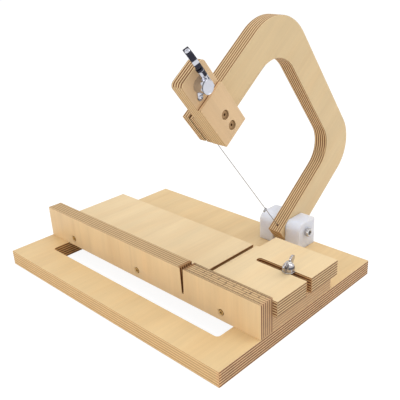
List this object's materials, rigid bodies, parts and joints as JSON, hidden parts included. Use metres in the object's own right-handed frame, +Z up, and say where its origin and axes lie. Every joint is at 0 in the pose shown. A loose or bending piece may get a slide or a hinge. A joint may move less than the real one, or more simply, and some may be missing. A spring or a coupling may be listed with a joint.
{
  "type": "wire soap cutter",
  "caption": "Plywood bed with a fence and a sliding stop plate, and a hinged bow-shaped arm whose tuner-tightened wire swings down to slice a loaf.",
  "frame": {"origin": "centre of the base board's underside", "axes": "+X along the fence to the stop plate's end, +Y from the front edge to the hinge, +Z up"},
  "size_m": [0.345, 0.3409, 0.2826],
  "materials": {
    "birch": "sanded bare birch plywood",
    "screw_steel": "yellow zinc plated",
    "clamp_steel": "dull cast and turned steel",
    "milky_plastic": "milky, slightly see-through",
    "bolt_steel": "stainless",
    "wire_steel": "bright drawn wire",
    "tuner_chrome": "polished"
  },
  "bodies": {
    "bed": {"base_board": "birch", "left_platform": "birch", "right_platform": "birch", "fence": "birch", "fence_screws": "screw_steel", "bed_screws": "screw_steel", "clamp_bolt": "clamp_steel", "hinge_block_left": "milky_plastic", "hinge_block_right": "milky_plastic", "block_screws": "screw_steel", "hinge_bolt": "bolt_steel", "hinge_nut": "bolt_steel"},
    "stop": {"stop_plate": "birch"},
    "clamp_nut": {"wing_nut": "clamp_steel", "clamp_washer": "clamp_steel"},
    "arm": {"arm": "birch", "head_board": "birch", "head_bolts": "bolt_steel", "head_washers": "bolt_steel", "head_nuts": "bolt_steel", "anchor_pin": "bolt_steel", "cutting_wire": "wire_steel", "wire_barrel": "wire_steel", "tuner_housing": "tuner_chrome", "tuner_cover": "tuner_chrome", "tuner_screw": "tuner_chrome", "post_bushing": "tuner_chrome"},
    "post": {"string_post": "tuner_chrome", "post_gear": "tuner_chrome"},
    "worm": {"worm_shaft": "tuner_chrome", "tuner_button": "tuner_chrome", "button_screw": "tuner_chrome"}
  },
  "joints": [
    {"name": "arm_hinge", "type": "hinge", "parent": "bed", "child": "arm", "pos_m": [0.0675, 0.10625, 0.0375], "axis": [1, 0, 0], "range_deg": [0, 52.5]},
    {"name": "stop_slide", "type": "slide", "parent": "bed", "child": "stop", "axis": [1, 0, 0], "range_m": [-0.016, 0.035]},
    {"name": "wing_nut_spin", "type": "hinge", "parent": "bed", "child": "clamp_nut", "pos_m": [0.15, 0.0001, 0.0545], "axis": [0, 0, 1], "continuous": true},
    {"name": "worm_spin", "type": "hinge", "parent": "arm", "child": "worm", "pos_m": [0.09675, -0.04769, 0.24206], "axis": [0, -0.6088, 0.7934], "continuous": true},
    {"name": "post_spin", "type": "hinge", "parent": "arm", "child": "post", "pos_m": [0.07625, -0.05221, 0.23859], "axis": [1, 0, 0], "continuous": true}
  ],
  "couplings": [
    {"joint": "post_spin", "follows": "worm_spin", "ratio": 0.071429}
  ]
}
